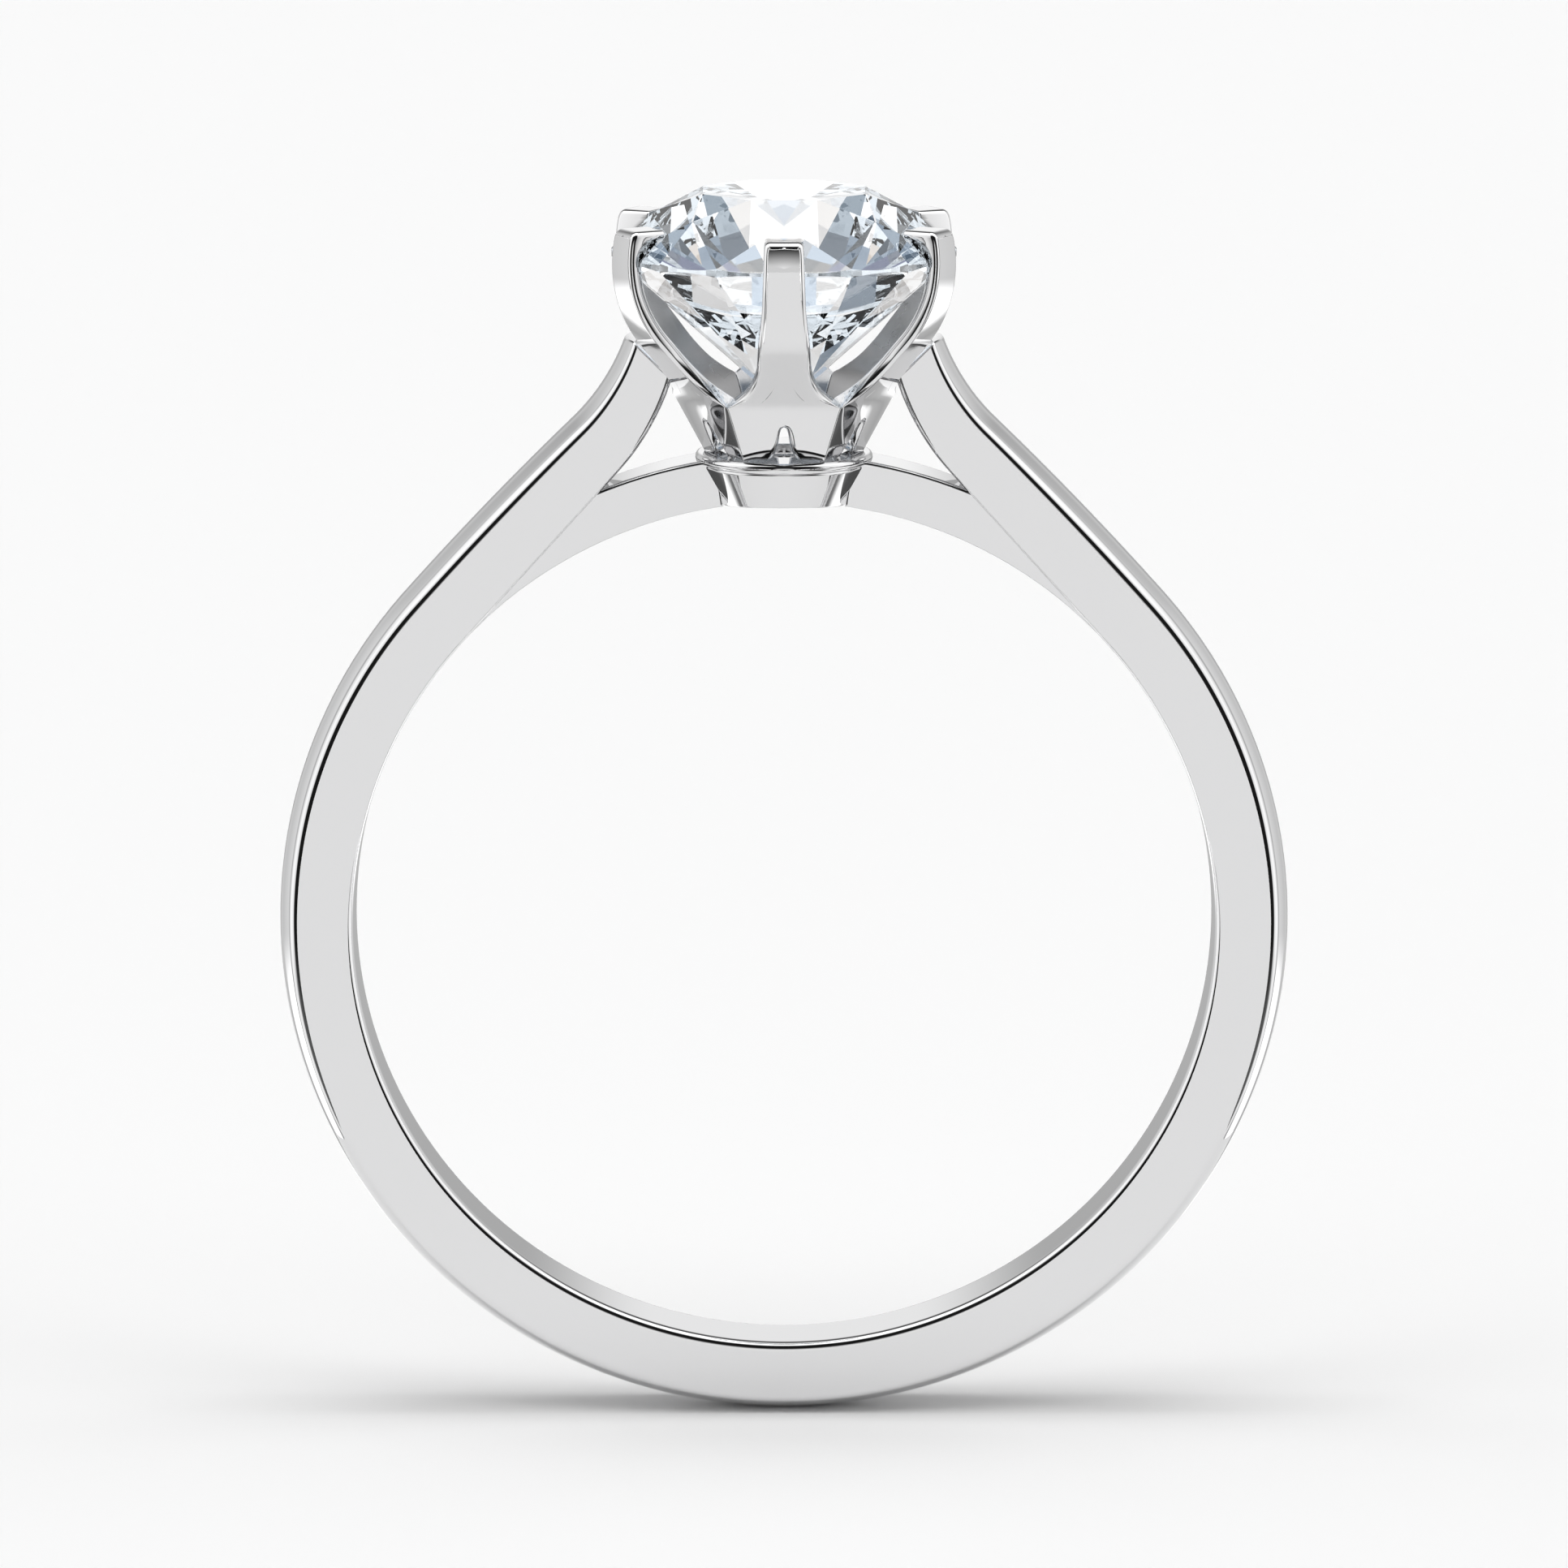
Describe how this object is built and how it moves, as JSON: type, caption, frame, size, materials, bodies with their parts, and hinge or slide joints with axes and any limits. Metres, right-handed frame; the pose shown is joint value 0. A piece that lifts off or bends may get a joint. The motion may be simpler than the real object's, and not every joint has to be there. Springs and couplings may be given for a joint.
{
  "type": "engagement ring",
  "caption": "Solitaire engagement ring: a round brilliant stone held by claws in a flared cup head, on a domed band with cathedral shoulders and an arched bridge.",
  "frame": {"origin": "centre of the finger hole, midway across the band's width", "axes": "+Y along the finger through the hole, +Z from the finger up through the middle of the stone, +X to the right seen from the front, -Y"},
  "size_m": [0.0194, 0.007, 0.0238],
  "materials": {
    "polished_metal": "white precious metal, mirror polished",
    "diamond": "clear, faceted and polished"
  },
  "bodies": {
    "root": {"shank": "polished_metal", "bridge_left": "polished_metal", "bridge_right": "polished_metal", "collet": "polished_metal", "bearing_wire": "polished_metal", "claw_front": "polished_metal", "claw_front_right": "polished_metal", "claw_back_right": "polished_metal", "claw_back": "polished_metal", "claw_back_left": "polished_metal", "claw_front_left": "polished_metal", "stone": "diamond"}
  },
  "joints": []
}
